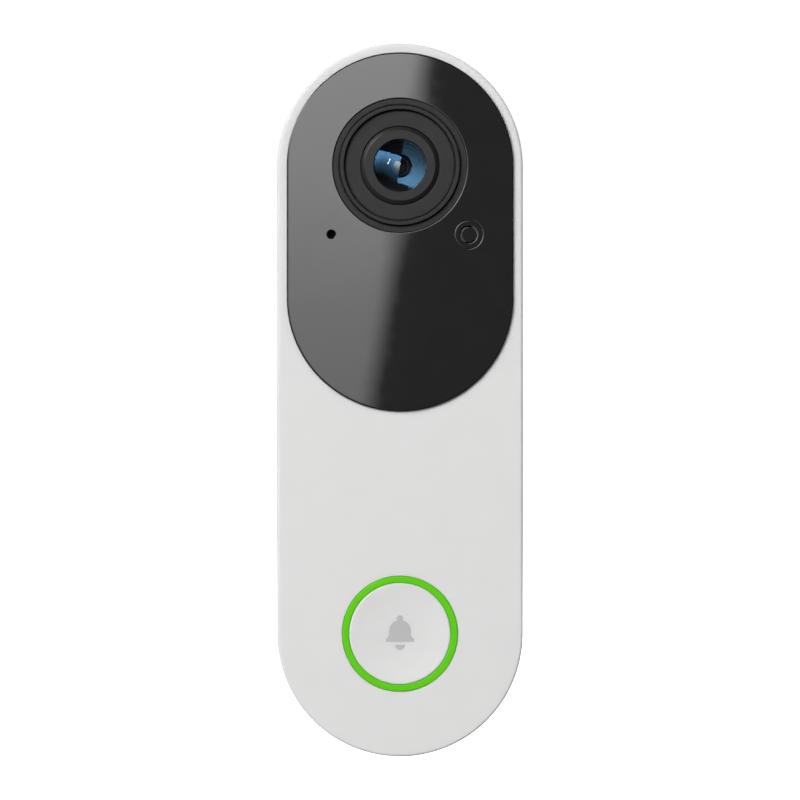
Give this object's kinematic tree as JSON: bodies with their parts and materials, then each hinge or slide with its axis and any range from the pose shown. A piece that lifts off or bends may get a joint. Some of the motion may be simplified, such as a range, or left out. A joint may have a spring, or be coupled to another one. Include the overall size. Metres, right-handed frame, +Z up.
{
  "type": "video doorbell",
  "caption": "Tall pill-shaped wired video doorbell with a camera panel, a lit push button, a speaker, inner electronics and a wall plate.",
  "frame": {"origin": "middle of the wall plate's back face, where it meets the wall", "axes": "+Z up the wall; +Y into the wall, so the face with the camera and button looks along -Y; +X to the right for someone facing the front"},
  "size_m": [0.0454, 0.026, 0.132],
  "materials": {
    "white_shell": "fine satin white moulded plastic",
    "white_button": "smooth satin white moulded plastic",
    "gloss_panel": "polished black acrylic",
    "satin_bezel": "satin black moulded plastic",
    "black_plastic": "matte black moulded plastic",
    "lens_glass": "coated lens glass",
    "filter_glass": "coated filter glass",
    "led_epoxy": "dark clear epoxy",
    "ring_light": "lit green light guide",
    "led_body": "ceramic white LED bodies",
    "symbol_print": "grey inlay",
    "seal_rubber": "soft dark silicone",
    "foam_black": "closed cell foam",
    "tape": "adhesive foam tape",
    "board": "green solder mask on glass laminate",
    "chip": "moulded chip package",
    "sensor_chip": "glass lidded chip",
    "steel": "zinc plated steel",
    "tin_can": "tinned steel sheet",
    "magnet": "nickel plated",
    "heat_plate": "bare aluminium plate",
    "copper_coil": "enamelled copper winding",
    "brass": "turned brass",
    "capacitor": "plastic sleeve",
    "flex": "amber polyimide strip",
    "wire": "insulated wire",
    "cone_paper": "treated speaker film",
    "mesh_cloth": "fine woven speaker cloth",
    "grey_cover": "textured grey moulded plastic",
    "plate_plastic": "textured dark moulded plastic"
  },
  "bodies": {
    "housing": {"front_shell": "white_shell", "front_panel": "gloss_panel", "panel_tape": "tape", "camera_bezel": "satin_bezel", "lens_retainer": "satin_bezel", "front_lens": "lens_glass", "second_lens": "lens_glass", "lens_barrel": "black_plastic", "lens_holder": "black_plastic", "ir_cut_coil": "copper_coil", "image_sensor": "sensor_chip", "camera_board": "board", "camera_seal": "foam_black", "camera_screws": "steel", "sensor_board": "board", "ir_leds": "led_epoxy", "microphone": "tin_can", "mic_boot": "seal_rubber", "light_sensor": "sensor_chip", "sensor_window": "gloss_panel", "sensor_bezel": "gloss_panel", "light_ring": "ring_light", "ring_gasket": "foam_black", "button_bumper": "seal_rubber", "button_board": "board", "ring_leds": "led_body", "button_switch": "tin_can", "speaker_frame": "black_plastic", "speaker_magnet": "magnet", "speaker_gasket": "foam_black", "speaker_mesh": "mesh_cloth", "speaker_leads": "wire", "main_board": "board", "board_screws": "steel", "processor": "chip", "shield_can": "tin_can", "heat_spreader": "heat_plate", "radio_module": "tin_can", "board_connector": "black_plastic", "camera_flex": "flex", "button_flex": "flex", "power_board": "board", "board_header": "black_plastic", "supercapacitor": "capacitor", "power_choke": "copper_coil", "rectifier": "chip", "terminal_inserts": "brass", "terminal_washers": "steel", "terminal_screws": "brass", "back_cover": "grey_cover", "cover_seal": "seal_rubber", "housing_screws": "steel", "wall_plate": "plate_plastic", "security_screw": "steel"},
    "button": {"push_button": "white_button", "bell_symbol": "symbol_print"},
    "switch_plunger": {"switch_plunger": "black_plastic"},
    "reset_button": {"reset_button": "black_plastic"},
    "ir_filter": {"ir_cut_filter": "filter_glass"},
    "speaker_cone": {"speaker_cone": "cone_paper"}
  },
  "joints": [
    {"name": "button_press", "type": "slide", "parent": "housing", "child": "button", "axis": [0, 1, 0], "range_m": [0, 0.0004], "stiffness_N_per_m": 400, "springref_m": -0.0005},
    {"name": "switch_press", "type": "slide", "parent": "housing", "child": "switch_plunger", "axis": [0, 1, 0], "range_m": [0, 0.0004]},
    {"name": "reset_press", "type": "slide", "parent": "housing", "child": "reset_button", "axis": [0, -1, 0], "range_m": [0, 0.0003], "stiffness_N_per_m": 300, "springref_m": -0.0003},
    {"name": "ir_cut_shift", "type": "slide", "parent": "housing", "child": "ir_filter", "axis": [1, 0, 0], "range_m": [0, 0.0046]},
    {"name": "speaker_cone_move", "type": "slide", "parent": "housing", "child": "speaker_cone", "axis": [0, 0, 1], "range_m": [-0.0003, 0.0003], "stiffness_N_per_m": 300}
  ],
  "couplings": [
    {"joint": "switch_press", "follows": "button_press", "ratio": 1}
  ]
}
